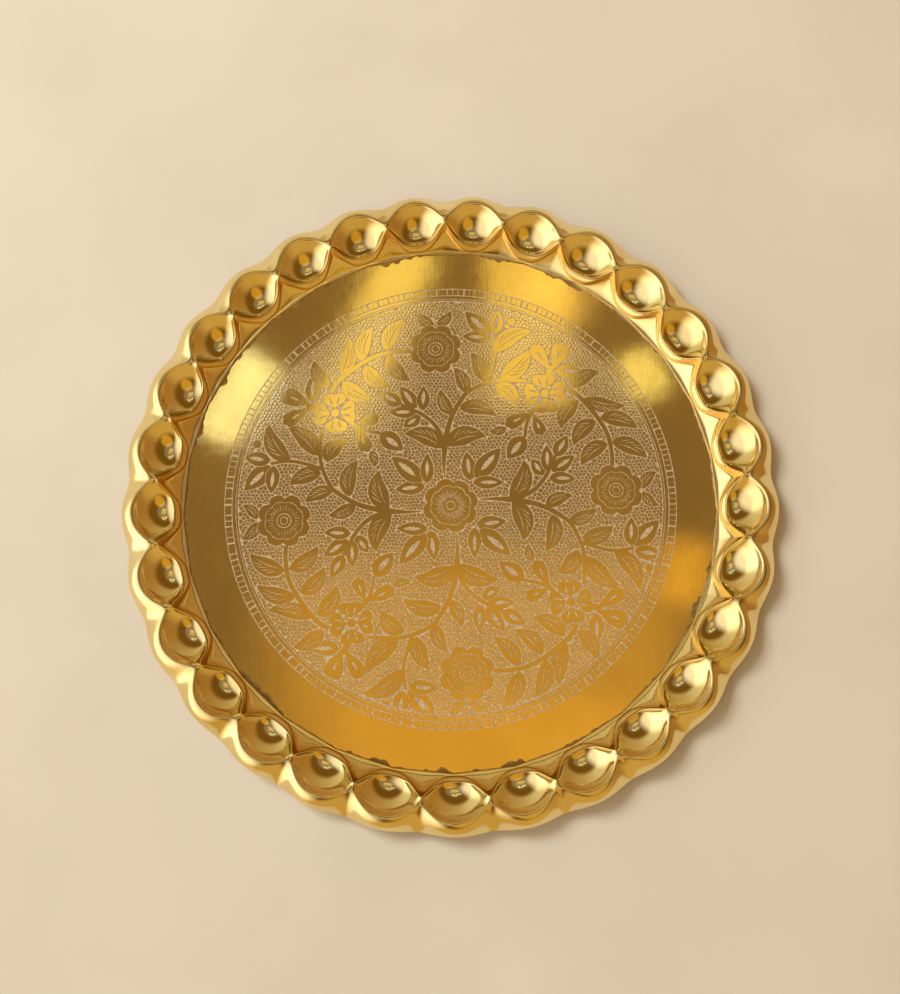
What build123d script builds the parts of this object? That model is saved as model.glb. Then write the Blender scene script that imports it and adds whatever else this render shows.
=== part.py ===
"""Hammered brass thali: a flat engraved floor, a border beaten into a ring of dimples, a brazed seam.

Millimetres, +Z up. The origin is the middle of the underside that the plate rests on.
"""

import os
from math import cos, pi, sin, sqrt

from build123d import *

# Driving dimensions
plate_diameter = 305.0  # over the crests of the scalloped edge
dimple_count = 29
first_dimple_angle = -90.0  # degrees, so that one dimple faces -Y
floor_sheet = 1.0  # thickness of the flat floor
border_sheet = 0.9  # thickness of the beaten border

# Radii, each measured inward from the crests of the edge
edge_radius = plate_diameter / 2
notch_radius = edge_radius - 1.4  # the edge between two dimples
outer_ridge_radius = edge_radius - 6.0  # outer lip of a dimple
pinch_radius = edge_radius - 14.8  # where neighbouring dimples meet
inner_ridge_radius = edge_radius - 23.3  # inner lip of a dimple
toe_radius = edge_radius - 27.0  # inner edge of the border, on the floor, between two dimples

# Heights over the top of the floor
edge_height = 10.3
notch_height = 6.3
outer_ridge_height = 14.2
pinch_height = 13.6
inner_ridge_height = 5.4
valley_top_height = 8.6  # top of the flat facet between two dimples

# Smaller forms of the border
dimple_depth = 3.6  # square to the slanted mouth of a dimple
saddle_depth = 0.2  # what is left of that depth where two dimples meet
inner_handle = 0.18  # how far the dimple's floor is drawn in from its inner lip, as a share of its width
outer_handle = 0.40  # and from its outer lip, which it falls away from more gently
lip_land = 0.6  # from the corner of a lip to each side of the narrow land that tops it
lip_gap = 3.4  # between the two lips where dimples meet
inner_lip_softness = 0.12  # rounds the inner lips where two dimples meet
outer_lip_softness = 0.30  # and the outer lips
inner_lip_fullness = 1.0  # above 0, the mouth of a dimple is rounder than a wave
outer_lip_fullness = 0.4
saddle_softness = 0.15  # rounds the crest between two dimples
strip_width = 1.8  # flat strip along the toe between two dimples
heel_at_dimple = 1.3  # from the toe's radius out to the back of a dimple
toe_trim = 0.6  # what is cut off the foot to give it its straight edges
valley_top_inset = 2.0  # from the pinch inward to the top of the flat facet
bulge_share = 1.12  # how wide a dimple's back stands on the floor, against the facets beside it
crease_softness = 0.16  # rounds the change from back to facet
edge_softness = 0.45  # rounds the hollows of the edge
flange_roll = 1.0  # how far the flange bows upward outside a dimple
pinch_roll = 1.3  # and between two
sections_per_dimple = 11
cubic_dip = 0.75  # how far a cubic curve dips towards its two inner control points

# The floor and the seam
floor_radius = toe_radius + 2.0  # it reaches this far under the border's foot
floor_edge_break = 0.3
seam_leg = 0.5
engraved_radius = edge_radius - 45.5  # outermost engraved circle
engraved_ring_insets = (0.0, 3.4, 5.2)  # the circles of the band, inward from the outermost
groove_depth = 0.15


def mitre(before, corner, after, depth):
    """The corner of a line that runs `depth` under the line through three points."""
    arriving = (corner - before).normalized()
    leaving = (after - corner).normalized()
    under_first = Vector(arriving.Y, -arriving.X)
    under_second = Vector(leaving.Y, -leaving.X)
    return corner + (under_first + under_second) * (depth / (1 + under_first.dot(under_second)))


def towards(start, end, distance):
    """The point at a distance from start on the way to end."""
    return start + (end - start).normalized() * distance


def dimple_share(place):
    """1 in the middle of a dimple and 0 where it meets the next one, half a pitch away."""
    return max(0.0, cos(pi * place))


def eased(share, softness):
    """A share from 0 to 1 that starts out gently."""
    return (sqrt(share**2 + softness**2) - softness) / (sqrt(1 + softness**2) - softness)


def fuller(share, fullness):
    """A share from 0 to 1 that has risen more by the middle."""
    return share * (1 + fullness * (1 - share))


def radial_plane(place):
    """Upright plane through the axis, with X outward and Y upward from the top of the floor."""
    angle = 2 * pi * place / dimple_count
    return Plane(
        origin=(0, 0, floor_sheet),
        x_dir=(cos(angle), sin(angle), 0),
        z_dir=(sin(angle), -cos(angle), 0),
    )


def border_section(place):
    """Closed outline of the border's sheet in the radial plane at a place in the pitch."""
    share = dimple_share(place)
    inner_share = fuller(eased(share, inner_lip_softness), inner_lip_fullness)
    outer_share = fuller(eased(share, outer_lip_softness), outer_lip_fullness)
    edge_share = eased(share, edge_softness)

    # The two lips and the edge, from where they are between two dimples to where they are beside one
    inner_pinch = Vector(pinch_radius - lip_gap / 2, pinch_height)
    outer_pinch = Vector(pinch_radius + lip_gap / 2, pinch_height)
    notch = Vector(notch_radius, notch_height)
    inner_ridge = inner_pinch + (Vector(inner_ridge_radius, inner_ridge_height) - inner_pinch) * inner_share
    outer_ridge = outer_pinch + (Vector(outer_ridge_radius, outer_ridge_height) - outer_pinch) * outer_share
    edge = notch + (Vector(edge_radius, edge_height) - notch) * edge_share

    # The foot: a narrow strip lying on the floor, then a flat facet, then the back of the dimple
    toe_bottom = Vector(toe_radius - toe_trim, 0)
    toe_top = toe_bottom + Vector(0, border_sheet)
    heel = Vector(toe_radius + strip_width + (heel_at_dimple - strip_width) * share, border_sheet)
    valley_top = Vector(inner_pinch.X - valley_top_inset, valley_top_height)
    facet = 1 - bulge_share * share
    facet = (facet + sqrt(facet * facet + crease_softness**2)) / 2
    crease = heel + (valley_top - heel) * facet

    # The dimple, square to the line between its two lips
    mouth = outer_ridge - inner_ridge
    inward = Vector(mouth.Y, -mouth.X).normalized()
    depth = saddle_depth + (dimple_depth - saddle_depth) * eased(share, saddle_softness)
    bowl_inner = inner_ridge + mouth * inner_handle + inward * (depth / cubic_dip)
    bowl_outer = outer_ridge - mouth * outer_handle + inward * (depth / cubic_dip)

    # The flange, rolled over towards its edge
    fall = edge - outer_ridge
    crown = pinch_roll + (flange_roll - pinch_roll) * edge_share
    flange = (outer_ridge + edge) / 2 + Vector(-fall.Y, fall.X).normalized() * crown

    # The underside, one sheet thickness below
    crease_under = mitre(heel, crease, inner_ridge, border_sheet)
    slope = (crease - heel).normalized()
    heel_under = crease_under - slope * (crease_under.Y / slope.Y)
    inner_under = mitre(crease, inner_ridge, bowl_inner, border_sheet)
    bowl_inner_under = mitre(inner_ridge, bowl_inner, bowl_outer, border_sheet)
    bowl_outer_under = mitre(bowl_inner, bowl_outer, outer_ridge, border_sheet)
    outer_under = mitre(bowl_outer, outer_ridge, flange, border_sheet)
    flange_under = mitre(outer_ridge, flange, edge, border_sheet)
    edge_run = (edge - flange).normalized()
    edge_under = edge + Vector(edge_run.Y, -edge_run.X) * border_sheet

    # Where the narrow land on top of each lip starts and ends
    inner_start = towards(inner_ridge, crease, lip_land)
    inner_end = towards(inner_ridge, bowl_inner, lip_land)
    outer_start = towards(outer_ridge, bowl_outer, lip_land)
    outer_end = towards(outer_ridge, flange, lip_land)

    with BuildSketch(radial_plane(place)) as section:
        with BuildLine():
            Line(toe_bottom, toe_top)
            Line(toe_top, heel)
            Line(heel, crease)
            Line(crease, inner_start)
            Line(inner_start, inner_end)
            Bezier(inner_end, bowl_inner, bowl_outer, outer_start)
            Line(outer_start, outer_end)
            Bezier(outer_end, flange, edge)
            Line(edge, edge_under)
            Bezier(edge_under, flange_under, outer_under)
            Bezier(outer_under, bowl_outer_under, bowl_inner_under, inner_under)
            Line(inner_under, crease_under)
            Line(crease_under, heel_under)
            Line(heel_under, toe_bottom)
        make_face()
    return section.sketch


def toe_polygon(apothem):
    """Straight-sided outline of the toe, with a corner at the middle of each dimple."""
    return RegularPolygon(apothem, dimple_count, major_radius=False, rotation=first_dimple_angle)


# Places of the sections in the pitch, closer together where two dimples meet
steps = [2 * step / (sections_per_dimple - 1) - 1 for step in range(sections_per_dimple)]
places = [0.5 * sin(pi / 2 * step) for step in steps]

# Border: one dimple, from the middle of one pinch to the next, repeated round the plate
with BuildPart() as one_dimple:
    loft([border_section(place) for place in places])

with BuildPart() as dimpled_border:
    with PolarLocations(0, dimple_count, start_angle=first_dimple_angle):
        add(one_dimple.part)
    with BuildSketch(Plane.XY.offset(floor_sheet)):
        toe_polygon(toe_radius)
    extrude(amount=2 * border_sheet, mode=Mode.SUBTRACT)
dimpled_border.part.label = "dimpled_border"

# Seam: a fillet of brazing metal in the corner between the floor and the border's toe
with BuildPart() as brazed_seam:
    with BuildSketch(Plane.XY.offset(floor_sheet)):
        toe_polygon(toe_radius)
    extrude(amount=seam_leg)
    with BuildSketch(Plane.XY.offset(floor_sheet)):
        toe_polygon(toe_radius - seam_leg)
    extrude(amount=seam_leg, taper=-45, mode=Mode.SUBTRACT)
brazed_seam.part.label = "brazed_seam"

# Floor: a flat disc that reaches under the border's toe, with the engraved circles of its band
with BuildPart() as floor_disc:
    with BuildSketch():
        Circle(floor_radius)
    extrude(amount=floor_sheet)
    chamfer(floor_disc.edges().sort_by(Axis.Z)[0], floor_edge_break)
    for inset in engraved_ring_insets:
        with BuildSketch(Plane.XZ):
            with BuildLine():
                Polyline(
                    (engraved_radius - inset - groove_depth, floor_sheet),
                    (engraved_radius - inset, floor_sheet - groove_depth),
                    (engraved_radius - inset + groove_depth, floor_sheet),
                    close=True,
                )
            make_face()
        revolve(axis=Axis.Z, mode=Mode.SUBTRACT)
floor_disc.part.label = "floor_disc"

os.makedirs("parts", exist_ok=True)
for piece in (floor_disc, dimpled_border, brazed_seam):
    export_step(piece.part, f"parts/{piece.part.label}.step")
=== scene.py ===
import random
from math import ceil, cos, hypot, pi, radians, sin, sqrt

import bpy
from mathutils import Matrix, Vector, geometry, kdtree, noise
from mathutils.bvhtree import BVHTree


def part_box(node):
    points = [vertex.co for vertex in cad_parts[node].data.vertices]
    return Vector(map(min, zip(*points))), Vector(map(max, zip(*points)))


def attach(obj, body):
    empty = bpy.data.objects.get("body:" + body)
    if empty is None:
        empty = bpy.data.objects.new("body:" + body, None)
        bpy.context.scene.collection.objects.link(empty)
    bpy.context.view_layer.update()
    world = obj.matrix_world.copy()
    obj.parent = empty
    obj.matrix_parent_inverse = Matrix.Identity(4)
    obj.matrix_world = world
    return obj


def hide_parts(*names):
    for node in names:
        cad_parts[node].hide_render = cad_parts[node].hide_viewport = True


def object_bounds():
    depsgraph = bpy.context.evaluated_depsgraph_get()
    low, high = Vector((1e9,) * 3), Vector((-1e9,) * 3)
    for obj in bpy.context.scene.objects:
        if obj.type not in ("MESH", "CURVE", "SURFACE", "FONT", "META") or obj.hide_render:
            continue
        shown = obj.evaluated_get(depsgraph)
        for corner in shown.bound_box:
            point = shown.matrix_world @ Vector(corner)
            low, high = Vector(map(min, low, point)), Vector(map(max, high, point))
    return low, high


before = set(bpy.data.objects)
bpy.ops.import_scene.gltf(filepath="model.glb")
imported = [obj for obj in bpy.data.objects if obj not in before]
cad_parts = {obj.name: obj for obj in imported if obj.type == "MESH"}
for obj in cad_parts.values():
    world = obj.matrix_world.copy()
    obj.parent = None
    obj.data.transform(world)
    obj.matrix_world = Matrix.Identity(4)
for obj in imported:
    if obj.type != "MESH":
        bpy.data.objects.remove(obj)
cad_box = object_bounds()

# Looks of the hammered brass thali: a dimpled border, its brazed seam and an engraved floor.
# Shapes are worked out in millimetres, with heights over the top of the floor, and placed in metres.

mm = 0.001

# Taken from the frame
_, floor_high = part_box("floor_disc")
border_low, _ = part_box("dimpled_border")
floor_sheet = floor_high[2] / mm
floor_radius = floor_high[0] / mm
edge_radius = -border_low[1] / mm  # a dimple faces -Y, so its crest is the lowest Y

# The border, as radii inward from the crests of the edge and heights over the floor
dimple_count = 29
first_dimple_angle = -pi / 2
border_sheet = 0.9
crest_radius = edge_radius - 0.2
notch_radius = edge_radius - 1.4  # the edge between two dimples
outer_ridge_radius = edge_radius - 6.0  # outer lip of a dimple
pinch_radius = edge_radius - 14.8  # where neighbouring dimples meet
inner_ridge_radius = edge_radius - 23.3  # inner lip of a dimple
toe_radius = edge_radius - 27.0  # inner edge of the border, on the floor, between two dimples
edge_height = 10.3
notch_height = 6.3
outer_ridge_height = 14.2
pinch_height = 13.6
inner_ridge_height = 5.4
valley_top_height = 8.6  # top of the flat facet between two dimples

# Smaller forms of the border
dimple_depth = 3.6  # square to the slanted mouth of a dimple
saddle_depth = 0.2  # what is left of that depth where two dimples meet
inner_handle = 0.18  # how far the dimple's floor is drawn in from its inner lip, as a share of its width
outer_handle = 0.40  # and from its outer lip, which it falls away from more gently
lip_gap = 3.4  # between the two lips where dimples meet
inner_lip_softness = 0.12  # rounds the inner lips where two dimples meet
outer_lip_softness = 0.30  # and the outer lips
inner_lip_fullness = 0.75  # above 0, the mouth of a dimple is rounder than a wave
outer_lip_fullness = 0.4
saddle_softness = 0.15  # rounds the crest between two dimples
inner_lip_roll = 0.8  # how far the soft bend of a lip reaches to each side
outer_lip_roll = 1.2
toe_roll = 0.25  # the same at the top of the toe
fold_roll = 0.4  # and at the other folds of the wall
strip_width = 1.8  # flat strip along the toe between two dimples
heel_at_dimple = 1.3  # from the toe's radius out to the back of a dimple
least_strip = 0.3  # the strip is nowhere narrower
valley_top_inset = 2.0  # from the pinch inward to the top of the flat facet
facet_cove = 0.7  # how far a facet hollows between its foot and its top
bulge_share = 1.12  # how wide a dimple's back stands on the floor, against the facets beside it
crease_softness = 0.08  # rounds the change from back to facet
edge_softness = 0.45  # rounds the hollows of the edge
flange_roll = 1.0  # how far the flange bows upward outside a dimple
pinch_roll = 1.3  # and between two
cubic_dip = 0.75  # how far a cubic curve dips towards its two inner control points
belt_place = 0.24  # a groove in the back of a dimple, as a share of the way down from the inner lip
belt_sink = 0.35
crescent_swell = 0.8  # how far the back of a dimple swells between that groove and its foot
columns_per_dimple = 32
lip_steps = 8
bowl_steps = 20
flange_steps = 8
bowl_under_steps = 14
flange_under_steps = 6
border_sharp = radians(50)  # folds sharper than this show as edges

# How the hand-made border strays from an even one:
# the pitch in waves of (number in a turn, degrees, phase), the surface in marks of (number in a mm, share)
pitch_waves = ((1, 0.15, -59), (2, 0.37, -130), (3, 0.26, 143), (5, 0.17, 38))
hammer_marks = ((0.07, 0.6), (0.19, 0.4))
beaten_depth = 0.18  # unevenness left by the hammer
beaten_above = 1.5  # the foot, below this height, stays true

# The seam, and where its brazing metal has run out onto the floor
seam_leg = 0.5
highest_bead = 0.75
smear_width = 2.0
smear_height = 0.02
smear_lip = 0.1  # over which a smear ends
seam_columns = 40 * dimple_count
bead_lumps = ((0, 42, 1.0), (3, 150, 0.5))  # layers of noise: (its own slice, lumps to a radius, share)
smear_patches = ((7, 11, 1.0), (9, 34, 0.5))
seam_sharp = radians(60)

# The engraved band, inward from the outermost line, and the sunken ground
engraved_radius = edge_radius - 45.5
line_width = 0.5
engraving_depth = 0.16
square_count = 246
square_inner = engraved_radius - 3.2
raised_rings = (
    (engraved_radius - 3.7, engraved_radius - 5.1),
    (engraved_radius - 5.5, engraved_radius - 6.1),
)
field_radius = engraved_radius - 6.5
floor_edge_break = 0.3  # cut off the lower edge of the disc
floor_segments = 360

# The flower pattern: a quarter repeated four times about a centre a little off the plate's own
pattern_centre = Vector((0.0, -3.2))
pattern_turn = radians(3.6)
field_margin = 0.4  # kept clear inside the edge of the field
stem_step = 0.01  # each stem of a quarter lies this much lower than the one before
pebble_pitch = 1.8
pebble_line = 0.33  # the ground between two pebbles
island_line = 0.48  # the ground left clear round the flowers and leaves
pebble_reach = 1.3  # from the middle of a pebble to the farthest that it may spread
pebble_margin = 0.15  # between the pebbles and the edge of the field
pebble_dome = 0.006  # from the top of a pebble to its rim
pebble_flare = 0.06  # how much wider a pebble is at its foot
smallest_pebble = 0.35  # square millimetres

collection = bpy.context.scene.collection


# Shared helpers


def bend(start, control, end, t):
    """A point on the curve from start to end that leans towards control."""
    return start * (1 - t) ** 2 + control * (2 * t * (1 - t)) + end * t**2


def cubic(start, first, second, end, t):
    """A point on a curve with two control points."""
    return start * (1 - t) ** 3 + first * (3 * t * (1 - t) ** 2) + second * (3 * t**2 * (1 - t)) + end * t**3


def shares(steps):
    """Even steps from 0 to 1, both included."""
    return [step / steps for step in range(steps + 1)]


def add_piece(name, vertices, faces, looks, node, face_looks=None, sharp_angle=None):
    """Make a piece from millimetre vertices and have it stand for a node."""
    mesh = bpy.data.meshes.new(name)
    mesh.from_pydata([(x * mm, y * mm, (z + floor_sheet) * mm) for x, y, z in vertices], [], faces)
    for look in looks:
        mesh.materials.append(look)
    if face_looks:
        mesh.polygons.foreach_set("material_index", face_looks)
    if sharp_angle is not None:
        mesh.polygons.foreach_set("use_smooth", [True] * len(mesh.polygons))
        mesh.set_sharp_from_angle(angle=sharp_angle)
    mesh.update()
    piece = bpy.data.objects.new(name, mesh)
    collection.objects.link(piece)
    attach(piece, "root")
    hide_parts(node)


def ring_faces(columns, rows):
    """The faces between neighbouring columns of a closed ring, whose columns are closed outlines."""
    faces = []
    for column in range(columns):
        here = column * rows
        there = (column + 1) % columns * rows
        for row in range(rows):
            after = (row + 1) % rows
            faces.append((here + row, there + row, there + after, here + after))
    return faces


# Materials


def add_node(tree, kind, links=None, **settings):
    """Add a shader node, set its properties, and fill its inputs with values or other nodes' outputs."""
    made = tree.nodes.new(kind)
    for key, value in settings.items():
        setattr(made, key, value)
    for key, value in (links or {}).items():
        if isinstance(value, bpy.types.NodeSocket):
            tree.links.new(value, made.inputs[key])
        else:
            made.inputs[key].default_value = value
    return made


def colour_steps(tree, factor, steps):
    """A colour ramp with (place, colour) steps."""
    ramp = add_node(tree, "ShaderNodeValToRGB", {"Fac": factor})
    elements = ramp.color_ramp.elements
    while len(elements) < len(steps):
        elements.new(0.5)
    for element, (place, colour) in zip(elements, steps):
        element.position = place
        element.color = (*colour, 1)
    return ramp.outputs["Color"]


def remap(tree, value, low, high):
    """Stretch a 0 to 1 value to the range from low to high."""
    made = add_node(tree, "ShaderNodeMapRange", {"Value": value, "To Min": low, "To Max": high})
    return made.outputs["Result"]


def noise_cloud(tree, place, scale, detail, roughness=0.5):
    """Cloudy values from 0 to 1, about `scale` clouds to the metre."""
    made = add_node(
        tree,
        "ShaderNodeTexNoise",
        {"Vector": place, "Scale": scale, "Detail": detail, "Roughness": roughness},
    )
    return made.outputs["Fac"]


def bumps(tree, height, depth, strength=1.0, over=None):
    """A normal that follows a height, on top of another normal if one is given."""
    links = {"Height": height, "Distance": depth, "Strength": strength}
    if over is not None:
        links["Normal"] = over
    return add_node(tree, "ShaderNodeBump", links).outputs["Normal"]


def new_material(name):
    """A material, with its node tree, its shader and the places on the object."""
    material = bpy.data.materials.new(name)
    material.use_nodes = True
    tree = material.node_tree
    place = add_node(tree, "ShaderNodeTexCoord").outputs["Object"]
    return material, tree, tree.nodes["Principled BSDF"], place


def brass(name, colours, roughness, cloud_size, wave_depth, scratch_depth):
    """Polished brass: cloudy colour, uneven gloss, a soft waviness and fine scratches."""
    material, tree, shader, place = new_material(name)
    shader.inputs["Metallic"].default_value = 1.0

    cloud = noise_cloud(tree, place, 1 / cloud_size, detail=5.0, roughness=0.6)
    dark, middle, pale = colours
    steps = [(0.30, dark), (0.52, middle), (0.75, pale)]
    tree.links.new(colour_steps(tree, cloud, steps), shader.inputs["Base Color"])

    smear = noise_cloud(tree, place, 420.0, detail=4.0, roughness=0.7)
    tree.links.new(remap(tree, smear, *roughness), shader.inputs["Roughness"])

    wave = noise_cloud(tree, place, 55.0, detail=2.0)
    waviness = bumps(tree, wave, wave_depth)
    stretched = add_node(
        tree,
        "ShaderNodeMapping",
        {"Vector": place, "Rotation": (0.0, 0.0, 0.6), "Scale": (2600.0, 60.0, 400.0)},
    ).outputs["Vector"]
    hairline = noise_cloud(tree, stretched, 1.0, detail=3.0, roughness=0.65)
    scratches = bumps(tree, hairline, scratch_depth, over=waviness)
    tree.links.new(scratches, shader.inputs["Normal"])
    return material


def chased_ground(name):
    """The sunken ground of the engraving: matt, paler and greyer than the polished metal."""
    material, tree, shader, place = new_material(name)
    shader.inputs["Metallic"].default_value = 0.5
    grain = noise_cloud(tree, place, 900.0, detail=3.0, roughness=0.6)
    steps = [(0.35, (0.54, 0.41, 0.24)), (0.55, (0.77, 0.63, 0.41)), (0.70, (0.90, 0.77, 0.56))]
    tree.links.new(colour_steps(tree, grain, steps), shader.inputs["Base Color"])
    tree.links.new(remap(tree, grain, 0.62, 0.42), shader.inputs["Roughness"])
    tree.links.new(bumps(tree, grain, 0.00012, strength=0.8), shader.inputs["Normal"])
    return material


floor_brass = brass(
    "engraved_brass",
    ((0.72, 0.43, 0.10), (0.78, 0.48, 0.11), (0.83, 0.53, 0.13)),
    roughness=(0.03, 0.09),
    cloud_size=0.045,
    wave_depth=0.00003,
    scratch_depth=0.000004,
)
pebble_brass = brass(
    "satin_brass",
    ((0.74, 0.47, 0.15), (0.82, 0.54, 0.19), (0.88, 0.61, 0.24)),
    roughness=(0.05, 0.11),
    cloud_size=0.02,
    wave_depth=0.00003,
    scratch_depth=0.000004,
)
border_brass = brass(
    "beaten_brass",
    ((0.82, 0.65, 0.28), (0.90, 0.75, 0.37), (0.95, 0.82, 0.46)),
    roughness=(0.06, 0.13),
    cloud_size=0.03,
    wave_depth=0.00012,
    scratch_depth=0.000006,
)
seam_metal = brass(
    "brazing_metal",
    ((0.36, 0.22, 0.07), (0.52, 0.34, 0.12), (0.70, 0.48, 0.18)),
    roughness=(0.25, 0.5),
    cloud_size=0.006,
    wave_depth=0.00015,
    scratch_depth=0.00002,
)
ground_brass = chased_ground("chased_ground")


# Border


def mitre(before, corner, after, depth):
    """The corner of a line that runs `depth` under the line through three points."""
    arriving = (corner - before).normalized()
    leaving = (after - corner).normalized()
    under_first = Vector((arriving.y, -arriving.x))
    under_second = Vector((leaving.y, -leaving.x))
    return corner + (under_first + under_second) * (depth / (1 + under_first.dot(under_second)))


def soft_corner(before, corner, after, reach, steps=3):
    """Points of a soft bend in place of a corner; it takes up less than half of either side."""
    most = 0.45
    to_before = before - corner
    to_after = after - corner
    start = corner + to_before.normalized() * min(reach, most * to_before.length)
    end = corner + to_after.normalized() * min(reach, most * to_after.length)
    return [bend(start, corner, end, t) for t in shares(steps)]


def eased(share, softness):
    """A share from 0 to 1 that starts out gently."""
    return (sqrt(share**2 + softness**2) - softness) / (sqrt(1 + softness**2) - softness)


def fuller(share, fullness):
    """A share from 0 to 1 that has risen more by the middle."""
    return share * (1 + fullness * (1 - share))


def border_outline(place):
    """The border's sheet at a place in the pitch, as (radius, height) points round from the toe."""
    share = max(0.0, cos(pi * place))
    inner_share = fuller(eased(share, inner_lip_softness), inner_lip_fullness)
    outer_share = fuller(eased(share, outer_lip_softness), outer_lip_fullness)
    edge_share = eased(share, edge_softness)
    half_lip = lip_gap / 2
    inner_pinch = Vector((pinch_radius - half_lip, pinch_height))
    outer_pinch = Vector((pinch_radius + half_lip, pinch_height))
    inner_ridge = inner_pinch.lerp(Vector((inner_ridge_radius, inner_ridge_height)), inner_share)
    outer_ridge = outer_pinch.lerp(Vector((outer_ridge_radius, outer_ridge_height)), outer_share)
    edge = Vector((notch_radius, notch_height)).lerp(Vector((crest_radius, edge_height)), edge_share)

    # The foot has straight sides that meet at the middle of each dimple
    toe_bottom = Vector((toe_radius / cos((1 - 2 * abs(place)) * pi / dimple_count), 0))
    toe_top = toe_bottom + Vector((0, border_sheet))
    heel = Vector((toe_radius + strip_width + (heel_at_dimple - strip_width) * share, border_sheet))
    heel.x = max(heel.x, toe_bottom.x + least_strip)
    valley_top = Vector((pinch_radius - half_lip - valley_top_inset, valley_top_height))
    facet = 1 - bulge_share * share
    facet = (facet + sqrt(facet * facet + crease_softness**2)) / 2
    crease = heel + (valley_top - heel) * facet
    rise = crease - heel
    cove = (heel + crease) / 2 + Vector((rise.y, -rise.x)).normalized() * facet_cove * facet

    # The back of the dimple, with a groove under its lip and a swell below that
    wall = crease - inner_ridge
    outward = Vector((-wall.y, wall.x)).normalized()
    belt = inner_ridge + wall * belt_place + outward * belt_sink * share
    swell = (belt + crease) / 2 - outward * crescent_swell * share

    # The dimple, square to the line between its two lips, and the flange outside it
    mouth = outer_ridge - inner_ridge
    inward = Vector((mouth.y, -mouth.x)).normalized()
    depth = saddle_depth + (dimple_depth - saddle_depth) * eased(share, saddle_softness)
    bowl_inner = inner_ridge + mouth * inner_handle + inward * (depth / cubic_dip)
    bowl_outer = outer_ridge - mouth * outer_handle + inward * (depth / cubic_dip)
    fall = edge - outer_ridge
    crown = pinch_roll + (flange_roll - pinch_roll) * edge_share
    flange = (outer_ridge + edge) / 2 + Vector((-fall.y, fall.x)).normalized() * crown

    # The upper side, from the toe to the edge
    inner_lip = soft_corner(belt, inner_ridge, bowl_inner, inner_lip_roll, lip_steps)
    outer_lip = soft_corner(bowl_outer, outer_ridge, flange, outer_lip_roll, lip_steps)
    top = [toe_bottom]
    top += soft_corner(toe_bottom, toe_top, heel, toe_roll)
    top += soft_corner(toe_top, heel, cove, fold_roll)
    top += [bend(top[-1], cove, crease, t) for t in shares(4)[1:-1]]
    top += soft_corner(cove, crease, swell, fold_roll)
    top += [bend(top[-1], swell, belt, t) for t in shares(5)[1:-1]]
    top += soft_corner(swell, belt, inner_ridge, fold_roll)
    top += inner_lip
    top += [cubic(inner_lip[-1], bowl_inner, bowl_outer, outer_lip[0], t) for t in shares(bowl_steps)[1:-1]]
    top += outer_lip
    top += [bend(outer_lip[-1], flange, edge, t) for t in shares(flange_steps)[1:]]

    # The underside, one sheet thickness below
    crease_under = mitre(heel, crease, inner_ridge, border_sheet)
    slope = (crease - heel).normalized()
    heel_under = crease_under - slope * (crease_under.y / slope.y)
    inner_under = mitre(crease, inner_ridge, bowl_inner, border_sheet)
    bowl_inner_under = mitre(inner_ridge, bowl_inner, bowl_outer, border_sheet)
    bowl_outer_under = mitre(bowl_inner, bowl_outer, outer_ridge, border_sheet)
    outer_under = mitre(bowl_outer, outer_ridge, flange, border_sheet)
    flange_under = mitre(outer_ridge, flange, edge, border_sheet)
    edge_run = (edge - flange).normalized()
    edge_under = edge + Vector((edge_run.y, -edge_run.x)) * border_sheet
    under = [bend(edge_under, flange_under, outer_under, t) for t in shares(flange_under_steps)]
    under += [
        cubic(outer_under, bowl_outer_under, bowl_inner_under, inner_under, t)
        for t in shares(bowl_under_steps)[1:]
    ]
    under += [crease_under, heel_under]
    return top + under


def set_by_hand(angle):
    """The angle at which something meant for an even pitch ends up on this hand-set border."""
    shifts = [radians(size) * cos(waves * angle + radians(phase)) for waves, size, phase in pitch_waves]
    return angle + sum(shifts)


def beaten(point):
    """Lower a point of the border a little, unevenly, as hammering leaves it."""
    push = sum(share * noise.noise(point * scale) for scale, share in hammer_marks)
    return point - Vector((0, 0, beaten_depth * (0.5 + 0.5 * push)))


def make_border():
    """The outlines of a dimple, set round the plate as columns and joined by faces."""
    outlines = [border_outline(step / columns_per_dimple - 0.5) for step in range(columns_per_dimple)]
    columns = dimple_count * columns_per_dimple
    vertices = []
    for column in range(columns):
        step = (column + columns_per_dimple // 2) % columns_per_dimple
        angle = set_by_hand(first_dimple_angle + 2 * pi * column / columns)
        for radius, height in outlines[step]:
            point = Vector((radius * cos(angle), radius * sin(angle), height))
            vertices.append(beaten(point) if height > beaten_above else point)
    faces = ring_faces(columns, len(outlines[0]))
    looks = [border_brass]
    add_piece(
        "beaten_border", vertices, faces, looks, "dimpled_border", sharp_angle=border_sharp
    )


# Seam


def unevenness(angle, layers):
    """Noise round the plate, the sum of its layers."""
    return sum(
        share * noise.noise(Vector((cos(angle), sin(angle), cut)) * scale) for cut, scale, share in layers
    )


def seam_section(angle, foot):
    """The bead at an angle, as (radius, height) points from the corner over its top to the floor."""
    lump = max(-0.6, unevenness(angle, bead_lumps))
    leg = seam_leg * (0.75 + 0.7 * lump)
    rise = min(leg, highest_bead)
    patch = 2.4 * (unevenness(angle, smear_patches) - 0.05)
    smear = leg + smear_width * min(1.0, max(0.0, patch))
    return [
        (foot, 0.0),
        (foot, rise),
        (foot - 0.35 * leg, 0.6 * rise),
        (foot - 0.7 * leg, 0.25 * rise),
        (foot - smear, smear_height),
        (foot - smear - smear_lip, 0.0),
    ]


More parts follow.
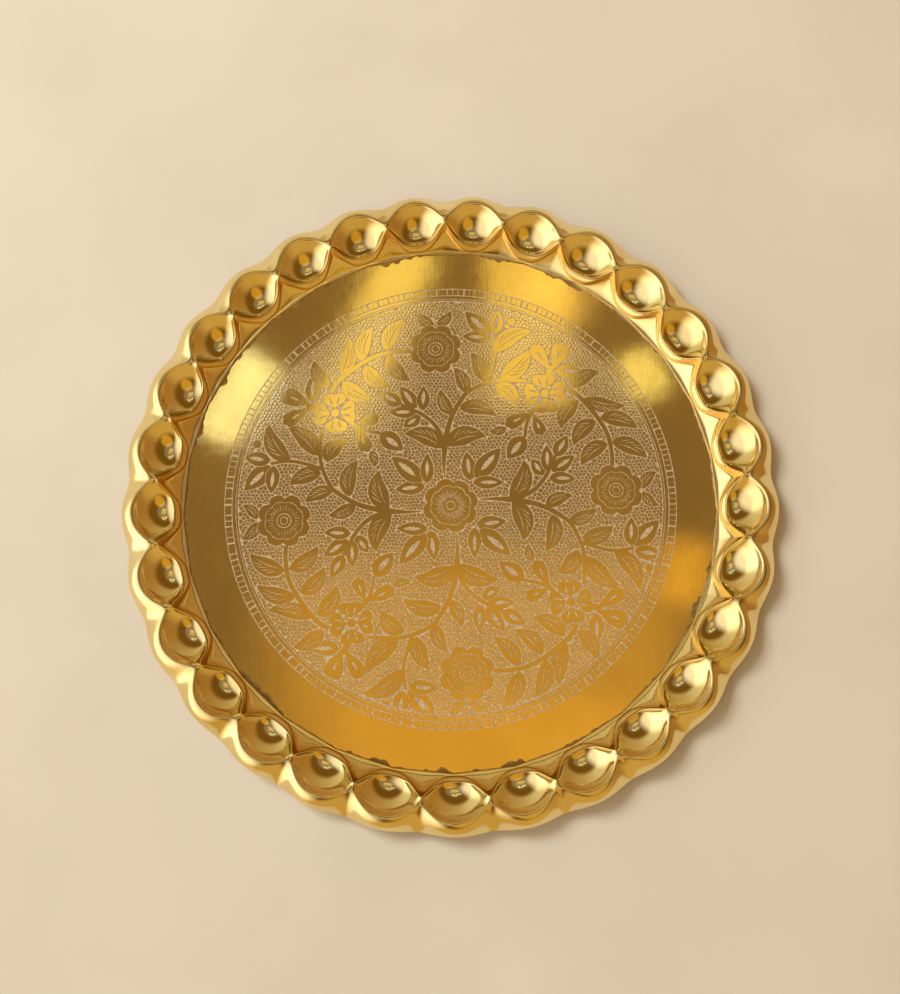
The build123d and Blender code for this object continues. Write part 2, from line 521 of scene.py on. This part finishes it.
def make_seam():
    """A lumpy fillet in the corner between the floor and the border's toe."""
    vertices = []
    for column in range(seam_columns):
        turn = column * dimple_count / seam_columns
        place = abs(turn - round(turn))
        angle = set_by_hand(first_dimple_angle + 2 * pi * turn / dimple_count)
        foot = toe_radius / cos((1 - 2 * place) * pi / dimple_count)
        section = seam_section(angle, foot)
        vertices += [(radius * cos(angle), radius * sin(angle), height) for radius, height in section]
    faces = [(a, d, c, b) for a, b, c, d in ring_faces(seam_columns, len(section))]  # it faces inward
    add_piece(
        "seam_bead", vertices, faces, [seam_metal], "brazed_seam", sharp_angle=seam_sharp
    )


# Engraved floor


def make_floor_plate():
    """The disc with its underside, polished margin, two raised rings and sunken ground."""
    ground = -engraving_depth
    margin = engraved_radius + line_width / 2
    profile = [
        (floor_radius - floor_edge_break, -floor_sheet),
        (floor_radius, -floor_sheet + floor_edge_break),
        (floor_radius, 0.0),
        (margin, 0.0),
        (margin, ground),
    ]
    for outer, inner in raised_rings:
        profile += [(outer, ground), (outer, 0.0), (inner, 0.0), (inner, ground)]
    vertices = [(0, 0, -floor_sheet), (0, 0, ground)]
    for segment in range(floor_segments):
        angle = 2 * pi * segment / floor_segments
        vertices += [(radius * cos(angle), radius * sin(angle), height) for radius, height in profile]
    faces = []
    face_looks = []
    size = len(profile)
    for segment in range(floor_segments):
        here = 2 + segment * size
        there = 2 + (segment + 1) % floor_segments * size
        faces.append((0, there, here))
        face_looks.append(0)
        for row in range(size - 1):
            faces.append((here + row, there + row, there + row + 1, here + row + 1))
            sunken = min(profile[row][1], profile[row + 1][1]) == ground
            face_looks.append(1 if sunken else 0)
        faces.append((1, here + size - 1, there + size - 1))
        face_looks.append(1)
    looks = [floor_brass, ground_brass]
    add_piece("floor_plate", vertices, faces, looks, "floor_disc", face_looks)


def filled(loops):
    """Points and triangles of the area inside the first loop and outside the others."""
    points = [point for loop in loops for point in loop]
    rings = []
    first = 0
    for loop in loops:
        rings.append(list(range(first, first + len(loop))))
        first += len(loop)
    corners, _, triangles, _, _, owners = geometry.delaunay_2d_cdt(points, [], rings, 1, 1e-4)
    return corners, [triangle for triangle, owner in zip(triangles, owners) if owner == [0]]


class Relief:
    """Polished islands that stand on the sunken ground, gathered into one mesh."""

    def __init__(self):
        self.vertices = []
        self.faces = []
        self.face_looks = []

    def add(self, loops, top=0.0):
        """An island from its outer loop and its engraved lines, with walls down to the ground."""
        corners, triangles = filled(loops)
        sides = {(a, b) for triangle in triangles for a, b in zip(triangle, triangle[1:] + triangle[:1])}
        rim = [(a, b) for a, b in sides if (b, a) not in sides]
        start = len(self.vertices)
        foot = start + len(corners)
        self.vertices += [(x, y, top) for x, y in corners]
        self.vertices += [(x, y, -engraving_depth) for x, y in corners]
        self.faces += [tuple(start + index for index in triangle) for triangle in triangles]
        self.faces += [(start + b, start + a, foot + a, foot + b) for a, b in sorted(rim)]
        self.face_looks += [0] * len(triangles) + [1] * len(rim)

    def make(self, name):
        """The piece, without the points that no face uses."""
        used = sorted({index for face in self.faces for index in face})
        place = {index: count for count, index in enumerate(used)}
        vertices = [self.vertices[index] for index in used]
        faces = [tuple(place[index] for index in face) for face in self.faces]
        looks = [floor_brass, ground_brass]
        add_piece(name, vertices, faces, looks, "floor_disc", self.face_looks)


def make_squares():
    """The ladder of small squares round the engraved band."""
    relief = Relief()
    hand = random.Random(3)
    slip = 0.12  # how far a square may stray, as a share of the pitch
    outer = engraved_radius - line_width / 2
    for index in range(square_count):
        middle = 2 * pi * (index + hand.uniform(-slip, slip)) / square_count
        half = pi / square_count - line_width / 2 / engraved_radius * hand.uniform(0.9, 1.3)
        corners = [(outer, -half), (outer, half), (square_inner, half), (square_inner, -half)]
        relief.add([[(radius * cos(middle + turn), radius * sin(middle + turn)) for radius, turn in corners]])
    relief.make("ladder_squares")


# Shapes of the flower pattern, in its own frame: the middle flower at the origin, +Y to one large flower


def spindle(start, end, width, lean=0.0, steps=6):
    """A thin pointed sliver from start to end, bowed to its left by lean times its length."""
    run = end - start
    control = (start + end) / 2 + Vector((-run.y, run.x)) * lean
    left = []
    right = []
    for t in shares(steps):
        spot = bend(start, control, end, t)
        ahead = ((control - start) * (1 - t) + (end - control) * t).normalized()
        side = Vector((-ahead.y, ahead.x)) * (width / 2 * sin(pi * t) ** 0.7)
        left.append(spot + side)
        right.append(spot - side)
    return right + left[-2:0:-1]


def leaf_frame(base, tip, width, lean):
    """A function that places (share of length, share of half width) on a leaf."""
    run = tip - base
    control = (base + tip) / 2 + Vector((-run.y, run.x)) * lean * 2

    def at(along, across):
        spot = bend(base, control, tip, along)
        ahead = ((control - base) * (1 - along) + (tip - control) * along).normalized()
        half = width / 2 * max(0.0, sin(pi * along**0.8)) ** 0.85
        return spot + Vector((-ahead.y, ahead.x)) * half * across

    return at


def leaf_outline(at, steps=14):
    """Right side from base to tip, then the left side back."""
    return [at(t, -1) for t in shares(steps)] + [at(t, 1) for t in shares(steps)[-2:0:-1]]


def slit_leaf(base, tip, width, lean=0.0):
    """A pointed leaf with a lens-shaped slit along its middle."""
    base, tip = Vector(base), Vector(tip)
    at = leaf_frame(base, tip, width, lean)
    slit = spindle(at(0.22, 0), at(0.80, 0), 0.30 * width, lean, 7)
    return [leaf_outline(at), slit]


def veined_leaf(base, tip, width, lean=0.0, veins=4):
    """A leaf with a curved rib and side veins on the outside of its bow."""
    base, tip = Vector(base), Vector(tip)
    at = leaf_frame(base, tip, width, lean)
    side = 1 if lean >= 0 else -1
    loops = [leaf_outline(at), spindle(at(0.10, -0.25 * side), at(0.86, -0.2 * side), 0.45, lean)]
    for index in range(veins):
        along = 0.18 + 0.50 * index / veins
        loops.append(spindle(at(along, 0.05 * side), at(along + 0.28, 0.76 * side), 0.42, 0.12 * side, 5))
    return loops


def smooth_path(points, per_span=5):
    """Points along a smooth line through the given ones."""
    points = [Vector(point) for point in points]
    spread = [points[0] * 2 - points[1], *points, points[-1] * 2 - points[-2]]
    path = []
    for before, start, end, after in zip(spread, spread[1:], spread[2:], spread[3:]):
        first = start + (end - before) / 6
        second = end - (after - start) / 6
        path += [cubic(start, first, second, end, t) for t in shares(per_span)[:-1]]
    return path + [points[-1]]


def stem(points, width, end_width):
    """A tapering ribbon along a path."""
    path = smooth_path(points)
    left = []
    right = []
    for index, spot in enumerate(path):
        ahead = (path[min(index + 1, len(path) - 1)] - path[max(index - 1, 0)]).normalized()
        half = (width + (end_width - width) * index / (len(path) - 1)) / 2
        left.append(spot + Vector((-ahead.y, ahead.x)) * half)
        right.append(spot - Vector((-ahead.y, ahead.x)) * half)
    return [right + left[::-1]]


def ray(angle):
    """One millimetre in a direction."""
    return Vector((cos(angle), sin(angle)))


def round_loop(centre, radius_at, steps):
    """A closed loop about a centre, its radius a function of the angle."""
    centre = Vector(centre)
    angles = [2 * pi * step / steps for step in range(steps)]
    return [centre + ray(angle) * radius_at(angle) for angle in angles]


def ring(centre, radius, steps=18):
    """A plain round loop."""
    return round_loop(centre, lambda angle: radius, steps)


def disc(centre, radius):
    """A plain round island."""
    return [ring(centre, radius)]


def lobed_loop(centre, radius, depth, phase, steps):
    """The outline of a flower with eight round lobes and sharp notches between them."""
    lobes = 8
    return round_loop(
        centre,
        lambda angle: radius - depth * (1 - abs(cos(lobes / 2 * (angle - phase)))) ** 1.6,
        steps,
    )


def stamens(centre, count, inner, outer, width):
    """Radial lines, long and short in turn."""
    centre = Vector(centre)
    short = inner + 0.78 * (outer - inner)
    loops = []
    for index in range(count):
        outward = ray(2 * pi * index / count)
        reach = outer if index % 2 else short
        loops.append(spindle(centre + outward * inner, centre + outward * reach, width, 0.0, 4))
    return loops


def ring_flower(centre, phase):
    """The large flower: a double ring, stamens, a lobed face and a lobed border round it."""
    border = lobed_loop(centre, 12.7, 2.4, phase, 84)
    gap = lobed_loop(centre, 9.4, 0.8, phase, 84)
    face = lobed_loop(centre, 9.0, 0.8, phase, 84)
    return [
        [border, gap],
        [face, *stamens(centre, 30, 4.4, 8.2, 0.38), ring(centre, 3.6, 28)],
        [ring(centre, 3.1, 28), ring(centre, 2.0, 20)],
        disc(centre, 1.55),
    ]


def middle_flower():
    """The flower in the centre: stamens round a button, then a scalloped petal ring."""
    centre = (0, 0)
    phase = 0.2
    petals = lobed_loop(centre, 13.0, 2.0, phase, 96)
    gap = lobed_loop(centre, 9.9, 0.9, phase, 96)
    face = lobed_loop(centre, 9.4, 0.9, phase, 96)
    return [
        [petals, gap],
        [face, *stamens(centre, 40, 2.8, 8.6, 0.42), ring(centre, 2.3, 24)],
        disc(centre, 1.8),
    ]


def heart_flower(centre, turn):
    """Four heart-shaped petals round a button, each with a slit on both sides of its middle."""
    centre = Vector(centre)
    half_petal = radians(43)
    slit_turn = 0.29
    islands = [disc(centre, 2.0)]
    for quarter in range(4):
        middle = turn + quarter * pi / 2
        outline = [centre + ray(middle) * 2.5]
        for t in shares(20):
            side = 2 * t - 1
            dip = 1.6 * (1 - abs(side)) ** 3
            shoulder = 3.4 * abs(side) ** 6
            outline.append(centre + ray(middle + side * half_petal) * (10.6 - dip - shoulder))
        slits = []
        for side in (-1, 1):
            outward = ray(middle + side * slit_turn)
            slits.append(spindle(centre + outward * 3.8, centre + outward * 8.4, 0.9))
        islands.append([outline, *slits])
    return islands


def bud_petal(root, direction, spread, length):
    """A petal that opens from its root, in degrees to each side, to a wavy end; it has a short slit."""
    root = Vector(root)

    def at(turn, reach):
        return root + ray(radians(direction + turn)) * reach

    outline = [root]
    for t in shares(24):
        side = 2 * t - 1
        wave = 0.07 * length * abs(sin(3 * pi * t))
        outline.append(at(side * spread, length * (0.94 - 0.42 * abs(side) ** 3) + wave))
    return [outline, spindle(at(0, 0.40 * length), at(0, 0.74 * length), 1.1)]


def quarter_pattern():
    """The islands of one quarter, between +X and +Y, and the stems that lie a hair lower."""
    leaves = [
        # spray by the middle flower
        slit_leaf((10.3, 11.5), (9.6, 25.6), 6.8),
        slit_leaf((12.6, 12.6), (26.0, 26.2), 8.8),
        slit_leaf((11.6, 10.4), (26.2, 9.2), 6.2),
        # along the stem from the middle to the heart flower
        veined_leaf((0.6, 29.2), (19.6, 32.4), 9.4, 0.17),
        veined_leaf((-1.6, 28.2), (-19.5, 36.5), 9.0, -0.16),
        veined_leaf((4.2, 45.0), (-0.4, 58.0), 6.4, 0.10),
        veined_leaf((8.0, 47.2), (25.4, 42.4), 7.8, 0.16),
        veined_leaf((11.6, 55.0), (6.8, 68.6), 6.8, -0.10),
        veined_leaf((20.6, 60.4), (15.8, 75.6), 8.0, -0.10),
        veined_leaf((29.0, 61.2), (44.8, 75.4), 9.2, -0.10),
        veined_leaf((25.8, 57.4), (35.6, 46.8), 8.2, 0.18),
        veined_leaf((28.0, 74.6), (47.0, 84.2), 8.6, 0.16),
        slit_leaf((26.0, 84.4), (14.8, 97.2), 8.8),
        slit_leaf((28.4, 84.4), (31.4, 96.8), 7.0),
        slit_leaf((25.8, 82.8), (12.4, 84.6), 6.6),
        # along the stem from the middle to the right
        slit_leaf((45.3, 11.3), (40.4, 19.6), 6.0),
        slit_leaf((47.6, 12.8), (48.2, 26.0), 6.2),
        slit_leaf((51.8, 20.0), (58.6, 30.0), 6.6),
        slit_leaf((49.4, 12.8), (61.0, 19.8), 6.8),
        slit_leaf((48.0, 9.8), (60.4, 8.4), 6.2),
        # the buds above and below the heart flower
        bud_petal((54.0, 63.6), 119, 21, 15.6),
        bud_petal((55.0, 63.6), 64, 27, 15.0),
        slit_leaf((56.4, 63.6), (69.6, 62.6), 6.8, -0.05),
        bud_petal((42.6, 42.8), 203, 22, 14.2),
        bud_petal((43.2, 42.4), 287, 24, 11.6),
        slit_leaf((38.2, 31.0), (28.8, 20.6), 8.8),
        veined_leaf((29.6, 36.2), (21.4, 35.0), 4.4, 0.10, 2),
        # along the branch from the right-hand flower to the heart flower
        veined_leaf((63.6, 53.6), (77.4, 60.8), 7.6, 0.14),
        veined_leaf((68.8, 48.2), (88.0, 43.2), 7.4, -0.10),
        veined_leaf((75.4, 37.4), (92.8, 31.0), 7.8, 0.12),
        veined_leaf((79.6, 25.0), (95.4, 15.8), 8.2, 0.12),
        veined_leaf((65.8, 47.2), (56.0, 33.6), 8.0, -0.14),
        veined_leaf((73.2, 36.0), (61.2, 24.8), 7.8, -0.14),
        veined_leaf((77.6, 24.4), (63.8, 14.6), 7.8, -0.14),
        # the pair outside the large flower
        veined_leaf((-1.0, 91.8), (-8.6, 99.2), 5.6, 0.16, 3),
        veined_leaf((0.3, 91.8), (7.6, 98.2), 5.0, -0.14, 3),
    ]
    islands = leaves + heart_flower((50.0, 52.0), 0.0) + ring_flower((-1.3, 79.0), 0.3)
    islands += [disc((37.2, 90.3), 2.0)]
    stems = [
        stem([(-1.8, 14), (-1.6, 21), (-0.8, 28)], 0.3, 2.6),
        stem([(-0.8, 28), (1.6, 38), (4.6, 45), (9, 51.6), (14, 56.4), (27, 60.4), (42, 59)], 2.6, 1.6),
        stem([(22.5, 60), (25, 66), (27, 72), (27.6, 78), (27, 84)], 1.8, 1.4),
        stem([(27, 0.6), (34, 1.8), (40, 4.4), (45, 9), (48.4, 14), (51.8, 20)], 2.4, 1.4),
        stem([(78.6, 13.5), (79, 20), (78, 29), (74.6, 37), (69.6, 45), (65, 50.6), (60.5, 53.6)], 1.8, 2.4),
        stem([(46, 46), (42.4, 42.4), (39.8, 37.5), (38.2, 31)], 2.0, 1.4),
        stem([(52.6, 61.6), (54.4, 66)], 2.6, 3.0),
    ]
    return islands, stems


def on_floor(point, quarter):
    """Turn a point of the pattern to one of its four quarters and place it on the floor."""
    turn = pattern_turn + quarter * pi / 2
    x, y = point
    spot = pattern_centre + Vector((x * cos(turn) - y * sin(turn), x * sin(turn) + y * cos(turn)))
    return spot * min(1.0, (field_radius - field_margin) / max(spot.length, 1.0))


def grown(loop, gap):
    """A loop moved outward by a gap."""
    moved = []
    for before, here, after in zip(loop[-1:] + loop[:-1], loop, loop[1:] + loop[:1]):
        ahead = (after - before).normalized()
        moved.append(here + Vector((ahead.y, -ahead.x)) * gap)
    return moved


def overlap(first, second):
    """Whether the boxes round two loops touch."""
    return all(
        min(point[axis] for point in first) < max(point[axis] for point in second)
        and min(point[axis] for point in second) < max(point[axis] for point in first)
        for axis in (0, 1)
    )


def placed_loops(islands, quarter):
    """The loops of a quarter's islands, on the floor."""
    return [[[on_floor(point, quarter) for point in loop] for loop in loops] for loops in islands]


def all_islands():
    """Every island of the pattern on the floor, and the stems that join them."""
    islands, stems = quarter_pattern()
    placed = placed_loops(middle_flower(), 0)
    joined = []
    for quarter in range(4):
        placed += placed_loops(islands, quarter)
        joined += placed_loops(stems, quarter)
    return placed, joined


def make_flowers(placed, joined):
    """Each island gives way, by a thin line, to those that come after it, and the stems lie a hair lower."""
    relief = Relief()
    gap = 0.7 * line_width
    stems_in_quarter = len(joined) // 4
    for index, loops in enumerate(placed):
        later = [other[0] for other in placed[index + 1:] if overlap(loops[0], other[0])]
        relief.add(loops + [grown(loop, gap) for loop in later])
    for index, loops in enumerate(joined):
        relief.add(loops, -stem_step * (1 + index % stems_in_quarter))
    relief.make("flower_relief")


# Pebbled ground between the flowers


def clip(polygon, normal, limit):
    """The part of a polygon on the near side of a line."""
    kept = []
    for here, after in zip(polygon, polygon[1:] + polygon[:1]):
        depth_here = here.dot(normal) - limit
        depth_after = after.dot(normal) - limit
        if depth_here <= 0:
            kept.append(here)
        if (depth_here < 0 < depth_after) or (depth_after < 0 < depth_here):
            kept.append(here.lerp(after, depth_here / (depth_here - depth_after)))
    return kept


def area(polygon):
    """Square millimetres inside a polygon that runs anticlockwise."""
    return sum(a.cross(b) for a, b in zip(polygon, polygon[1:] + polygon[:1])) / 2


def worn_round(polygon):
    """The polygon with each corner cut back to about a quarter of its sides."""
    rounded = []
    for here, after in zip(polygon, polygon[1:] + polygon[:1]):
        rounded += [here.lerp(after, 0.27), here.lerp(after, 0.73)]
    return rounded


def near_tree(points):
    """A search tree for the points near a place."""
    tree = kdtree.KDTree(len(points))
    for index, point in enumerate(points):
        tree.insert((point.x, point.y, 0), index)
    tree.balance()
    return tree


def outline_points(placed, spacing=0.45):
    """Points set closely along the outer loop of every island."""
    points = []
    for loops in placed:
        loop = loops[0]
        for here, after in zip(loop, loop[1:] + loop[:1]):
            steps = max(1, ceil((after - here).length / spacing))
            points += [here.lerp(after, step / steps) for step in range(steps)]
    return points


def island_cover(placed):
    """The filled outlines of all islands, to find what lies inside one."""
    vertices = []
    triangles = []
    for loops in placed:
        start = len(vertices)
        corners, faces = filled(loops[:1])
        vertices += [(x, y, 0.0) for x, y in corners]
        triangles += [tuple(start + index for index in triangle) for triangle in faces]
    return BVHTree.FromPolygons(vertices, triangles)


def pebble_seeds(outline_tree, cover):
    """Places for pebbles: a jittered honeycomb, where no island is."""
    hand = random.Random(11)
    stray_across, stray_along = 0.52, 0.45
    least_gap = 0.55  # from the outline of an island
    row_gap = pebble_pitch * sqrt(3) / 2
    rows = ceil(field_radius / row_gap)
    seeds = []
    for row in range(-rows, rows + 1):
        for step in range(-rows, rows + 1):
            x = (step + 0.5 * (row % 2)) * pebble_pitch + hand.uniform(-stray_across, stray_across)
            y = row * row_gap + hand.uniform(-stray_along, stray_along)
            if hypot(x, y) > field_radius - field_margin:
                continue
            if outline_tree.find((x, y, 0))[2] < least_gap:
                continue
            if cover.ray_cast(Vector((x, y, 1)), Vector((0, 0, -1)))[0] is None:
                seeds.append(Vector((x, y)))
    return seeds


def pebble_limits(seed, seed_tree, outline_tree):
    """What hems a pebble in, as (point, how far towards it the pebble may spread)."""
    near_seeds = seed_tree.find_range((*seed, 0), 2 * pebble_reach + pebble_line)
    near_outlines = outline_tree.find_range((*seed, 0), pebble_reach + island_line)
    limits = [(other.to_2d(), gap / 2 - pebble_line / 2) for other, _, gap in near_seeds if gap > 0]
    limits += [(other.to_2d(), gap - island_line) for other, _, gap in near_outlines]
    limits.append((seed.normalized() * (field_radius + 1), field_radius - pebble_margin - seed.length))
    return limits


def pebble_cell(seed, seed_tree, outline_tree):
    """A pebble's own share of the ground, an engraved line away from all its neighbours."""
    cell = ring(seed, pebble_reach, 10)
    for other, distance in pebble_limits(seed, seed_tree, outline_tree):
        normal = (other - seed).normalized()
        cell = clip(cell, normal, seed.dot(normal) + distance)
    return cell


def make_pebbles(placed):
    """The low domes between the islands, with walls down to the ground."""
    outline_tree = near_tree(outline_points(placed))
    seeds = pebble_seeds(outline_tree, island_cover(placed))
    seed_tree = near_tree(seeds)
    vertices = []
    faces = []
    face_looks = []
    for seed in seeds:
        cell = pebble_cell(seed, seed_tree, outline_tree)
        if area(cell) < smallest_pebble:
            continue
        rim = worn_round(cell)
        middle = sum(rim, Vector((0, 0))) / len(rim)
        start = len(vertices)
        count = len(rim)
        vertices.append((*middle, 0.0))
        vertices += [(*point, -pebble_dome) for point in rim]
        vertices += [(*(point + (point - middle) * pebble_flare), -engraving_depth) for point in rim]
        for index in range(count):
            here = start + 1 + index
            after = start + 1 + (index + 1) % count
            faces.append((start, here, after))
            faces.append((here, here + count, after + count, after))
            face_looks += [0, 1]
    looks = [pebble_brass, ground_brass]
    add_piece("pebbled_ground", vertices, faces, looks, "floor_disc", face_looks)


make_border()
make_seam()
make_floor_plate()
make_squares()
flowers, stems = all_islands()
make_flowers(flowers, stems)
make_pebbles(flowers + stems)


# Stage, lights and camera


stage_half = 4.0  # metres, from its middle to its sides
stage_gap = 0.0002  # keeps it just clear of the plate's underside

# The tones of the room, each (axis, where it starts, where it is full, colour) over those before it:
# the near side, the upper walls and the ceiling
room_tones = (
    ("Y", -0.30, -0.75, (0.62, 0.39, 0.11, 1)),
    ("Z", 0.40, 0.60, (0.185, 0.088, 0.012, 1)),
    ("Z", 0.84, 0.89, (0.29, 0.23, 0.17, 1)),
)
# Round glows: (direction, degrees within which it is full, degrees at which it is gone, colour)
room_glows = (
    ((-0.85, -0.25, 0.50), 20, 52, (1.0, 0.98, 0.96)),
    ((0.30, -0.55, 0.78), 14, 24, (0.45, 0.26, 0.03)),
)
# Panels of light, by where the floor mirrors them, in millimetres: (start, end, width, soft edge, colour)
room_panels = (
    ((11, -26), (11, -160), 184, 20, (0.39, 0.27, 0.035)),
    ((16, -94), (16, -160), 130, 7, (0.19, 0.12, 0.0)),
    ((-16, -5), (14, -3), 34, 12, (0.13, 0.09, 0.015)),
    ((62, -3), (86, -3), 30, 14, (0.09, 0.06, 0.01)),
    ((-17, 132), (-57, 32), 25, 3, (1.0, 1.05, 0.60)),
    ((-91, 72), (-115, 32), 22, 3, (1.3, 1.75, 2.4)),
    ((42, 130), (38, 46), 38, 3, (0.9, 0.88, 0.40)),
    ((40, 116), (74, 96), 20, 3, (0.3, 0.25, 0.15)),
    ((90, 72), (99, 50), 17, 3, (1.1, 1.25, 0.9)),
    ((113, -22), (108, -50), 20, 4, (0.55, 0.37, 0.02)),
)


def pale_floor():
    """A plain pale surface under the plate."""
    material, tree, shader, place = new_material("pale_floor")
    shader.inputs["Roughness"].default_value = 0.75
    grain = noise_cloud(tree, place, 9.0, detail=6.0)
    steps = [(0.3, (0.71, 0.65, 0.54)), (0.7, (0.77, 0.71, 0.60))]
    tree.links.new(colour_steps(tree, grain, steps), shader.inputs["Base Color"])
    corners = [(stage_half * x, stage_half * y, 0) for x, y in ((-1, -1), (1, -1), (1, 1), (-1, 1))]
    mesh = bpy.data.meshes.new("stage_floor")
    mesh.from_pydata(corners, [], [(0, 1, 2, 3)])
    mesh.materials.append(material)
    surface = bpy.data.objects.new("stage_floor", mesh)
    surface.location.z = cad_box[0][2] - stage_gap
    collection.objects.link(surface)


def mirrored(x, y):
    """The direction in which a point of the floor, in millimetres, mirrors the room to the camera."""
    eye = bpy.context.scene.camera.location
    return Vector((x * mm - eye.x, y * mm - eye.y, eye.z)).normalized()


def soft_glow(tree, direction, aim, inner, outer, colour, seen):
    """Add a round glow to what is seen."""
    towards = Vector(aim).normalized()
    near = add_node(tree, "ShaderNodeVectorMath", {0: direction, 1: towards}, operation="DOT_PRODUCT")
    share = add_node(
        tree,
        "ShaderNodeMapRange",
        {"Value": near.outputs["Value"], "From Min": cos(radians(outer)), "From Max": cos(radians(inner))},
        interpolation_type="SMOOTHSTEP",
    )
    added = add_node(
        tree,
        "ShaderNodeVectorMath",
        {0: colour, 1: share.outputs["Result"], 2: seen},
        operation="MULTIPLY_ADD",
    )
    return added.outputs["Vector"]


def lit_panel(tree, direction, start, end, width, edge, colour, seen):
    """Add a soft-edged panel of light to what is seen; it mirrors in the floor from start to end."""
    eye_height = bpy.context.scene.camera.location.z
    first, last = mirrored(*start), mirrored(*end)
    along = (last - first).normalized()
    middle = (first + last).normalized()
    half_length = (last - first).length / 2
    half_width = width * mm / 2 / eye_height
    soft = edge * mm / eye_height
    for axis, half in ((along, half_length), (middle.cross(along), half_width)):
        place = add_node(tree, "ShaderNodeVectorMath", {0: direction, 1: axis}, operation="DOT_PRODUCT")
        offset = add_node(
            tree, "ShaderNodeMath", {0: place.outputs["Value"], 1: middle.dot(axis)}, operation="SUBTRACT"
        )
        size = add_node(tree, "ShaderNodeMath", {0: offset.outputs["Value"]}, operation="ABSOLUTE")
        inside = add_node(
            tree,
            "ShaderNodeMapRange",
            {"Value": size.outputs["Value"], "From Min": half + soft, "From Max": half - soft},
            interpolation_type="SMOOTHSTEP",
        )
        colour = add_node(
            tree, "ShaderNodeVectorMath", {0: colour, 1: inside.outputs["Result"]}, operation="MULTIPLY"
        ).outputs["Vector"]
    return add_node(tree, "ShaderNodeVectorMath", {0: colour, 1: seen}, operation="ADD").outputs["Vector"]


def room():
    """Soft light from all round: bright on the left, warm and dim on the right, with panels overhead."""
    world = bpy.data.worlds.new("room")
    world.use_nodes = True
    tree = world.node_tree
    direction = add_node(tree, "ShaderNodeTexCoord").outputs["Generated"]
    parts = add_node(tree, "ShaderNodeSeparateXYZ", {"Vector": direction})
    across = add_node(tree, "ShaderNodeMapRange", {"Value": parts.outputs["X"], "From Min": -1.0})
    walls = [(0.0, (0.85, 0.76, 0.52)), (0.45, (0.55, 0.40, 0.19)), (1.0, (0.40, 0.20, 0.05))]
    seen = colour_steps(tree, across.outputs["Result"], walls)
    for axis, start, full, tone in room_tones:
        share = add_node(
            tree, "ShaderNodeMapRange", {"Value": parts.outputs[axis], "From Min": start, "From Max": full}
        )
        seen = add_node(
            tree, "ShaderNodeMix", {0: share.outputs["Result"], 6: seen, 7: tone}, data_type="RGBA"
        ).outputs[2]
    for glow in room_glows:
        seen = soft_glow(tree, direction, *glow, seen)
    for panel in room_panels:
        seen = lit_panel(tree, direction, *panel, seen)
    tree.links.new(seen, tree.nodes["Background"].inputs["Color"])
    bpy.context.scene.world = world
    bpy.context.scene.view_settings.view_transform = "Standard"


def soft_lamp():
    """A broad lamp from the upper left for the stage; the polished metal does not mirror it."""
    light = bpy.data.lights.new("soft_lamp", "AREA")
    light.size = 0.8
    light.energy = 30.0
    lamp = bpy.data.objects.new("soft_lamp", light)
    lamp.location = (-1.2, 0.7, 1.7)
    lamp.rotation_euler = (-lamp.location).to_track_quat("-Z", "Y").to_euler()
    lamp.visible_glossy = False
    collection.objects.link(lamp)


def photograph_camera():
    """The camera that the photograph was taken with, fitted to the plate's rings."""
    image_height = 994
    focal_pixels = 1026
    distance = 0.4865
    elevation = radians(77.0)
    azimuth = radians(-90.84)
    aim = Vector((0, 0, floor_sheet * mm))
    camera = bpy.data.cameras.new("camera")
    camera.sensor_width = 36.0
    camera.lens = focal_pixels * camera.sensor_width / image_height
    camera.shift_x = -0.0004
    camera.shift_y = 0.0017
    camera.clip_start = 0.01
    holder = bpy.data.objects.new("camera", camera)
    away = Vector((cos(elevation) * cos(azimuth), cos(elevation) * sin(azimuth), sin(elevation)))
    holder.location = aim + away * distance
    holder.rotation_euler = (-away).to_track_quat("-Z", "Y").to_euler()
    collection.objects.link(holder)
    bpy.context.scene.camera = holder


pale_floor()
photograph_camera()
room()
soft_lamp()
